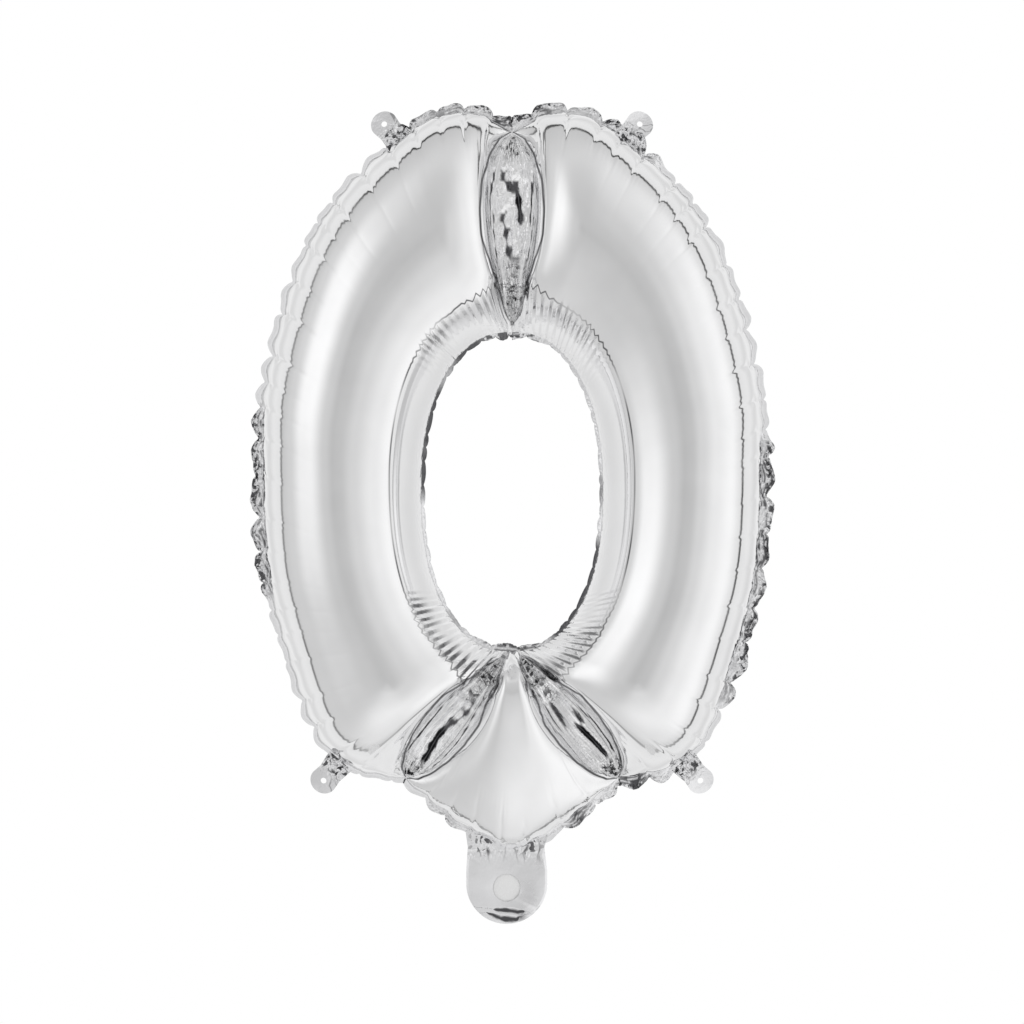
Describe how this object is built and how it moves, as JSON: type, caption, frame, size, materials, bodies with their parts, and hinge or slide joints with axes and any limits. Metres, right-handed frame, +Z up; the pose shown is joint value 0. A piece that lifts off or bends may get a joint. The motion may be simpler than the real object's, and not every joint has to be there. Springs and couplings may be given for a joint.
{
  "type": "foil number balloon",
  "caption": "Inflated metallised-film balloon in the shape of the digit zero, with welded rim, darts round a central hole, hanging tabs and a tail with an inflation valve.",
  "frame": {"origin": "centre of the whole balloon's box: halfway between the top of the rim and the end of the tail, on the digit's centre line and in the plane where the two films are welded together", "axes": "+Z up with the digit upright, +X to the right of someone who looks at the front, -Y out of the front face, where the tail's inlet hole is"},
  "size_m": [0.245, 0.069, 0.3869],
  "materials": {
    "foil": "mirror-bright metallised film",
    "foil_seal": "crinkled heat-welded film",
    "tail_foil": "creased film, duller than the body",
    "valve_film": "clear polyethylene film"
  },
  "bodies": {
    "balloon": {"front_foil": "foil", "rear_foil": "foil", "outer_seal": "foil_seal", "hole_seal": "foil_seal", "top_dart_seal": "foil_seal", "left_dart_seal": "foil_seal", "right_dart_seal": "foil_seal"},
    "tail": {"tail_front_film": "tail_foil", "tail_rear_film": "tail_foil", "valve_front_sleeve": "valve_film", "valve_rear_sleeve": "valve_film"},
    "valve_front_flap": {"valve_front_flap": "valve_film"},
    "valve_rear_flap": {"valve_rear_flap": "valve_film"},
    "top_left_tab": {"top_left_tab": "foil_seal"},
    "top_right_tab": {"top_right_tab": "foil_seal"},
    "bottom_left_tab": {"bottom_left_tab": "foil_seal"},
    "bottom_right_tab": {"bottom_right_tab": "foil_seal"}
  },
  "joints": [
    {"name": "tail_fold", "type": "hinge", "parent": "balloon", "child": "tail", "pos_m": [-0.0025, 0, -0.1605], "axis": [1, 0, 0], "range_deg": [-90, 90]},
    {"name": "valve_front_open", "type": "hinge", "parent": "balloon", "child": "valve_front_flap", "pos_m": [-0.0025, 0, -0.1575], "axis": [1, 0, 0], "range_deg": [0, 3.5], "stiffness_Nm_per_rad": 0.001},
    {"name": "valve_rear_open", "type": "hinge", "parent": "balloon", "child": "valve_rear_flap", "pos_m": [-0.0025, 0, -0.1575], "axis": [1, 0, 0], "range_deg": [-3.5, 0], "stiffness_Nm_per_rad": 0.001},
    {"name": "top_left_tab_fold", "type": "hinge", "parent": "balloon", "child": "top_left_tab", "pos_m": [-0.05609, 0, 0.17778], "axis": [0.7547, 0, 0.6561], "range_deg": [-110, 110], "stiffness_Nm_per_rad": 0.0001},
    {"name": "top_right_tab_fold", "type": "hinge", "parent": "balloon", "child": "top_right_tab", "pos_m": [0.05609, 0, 0.17778], "axis": [0.7547, 0, -0.6561], "range_deg": [-110, 110], "stiffness_Nm_per_rad": 0.0001},
    {"name": "bottom_left_tab_fold", "type": "hinge", "parent": "balloon", "child": "bottom_left_tab", "pos_m": [-0.0846, 0, -0.12177], "axis": [-0.7532, 0, 0.6578], "range_deg": [-110, 110], "stiffness_Nm_per_rad": 0.0001},
    {"name": "bottom_right_tab_fold", "type": "hinge", "parent": "balloon", "child": "bottom_right_tab", "pos_m": [0.0846, 0, -0.12177], "axis": [-0.7532, 0, -0.6578], "range_deg": [-110, 110], "stiffness_Nm_per_rad": 0.0001}
  ],
  "couplings": [
    {"joint": "valve_rear_open", "follows": "valve_front_open", "ratio": -1}
  ]
}
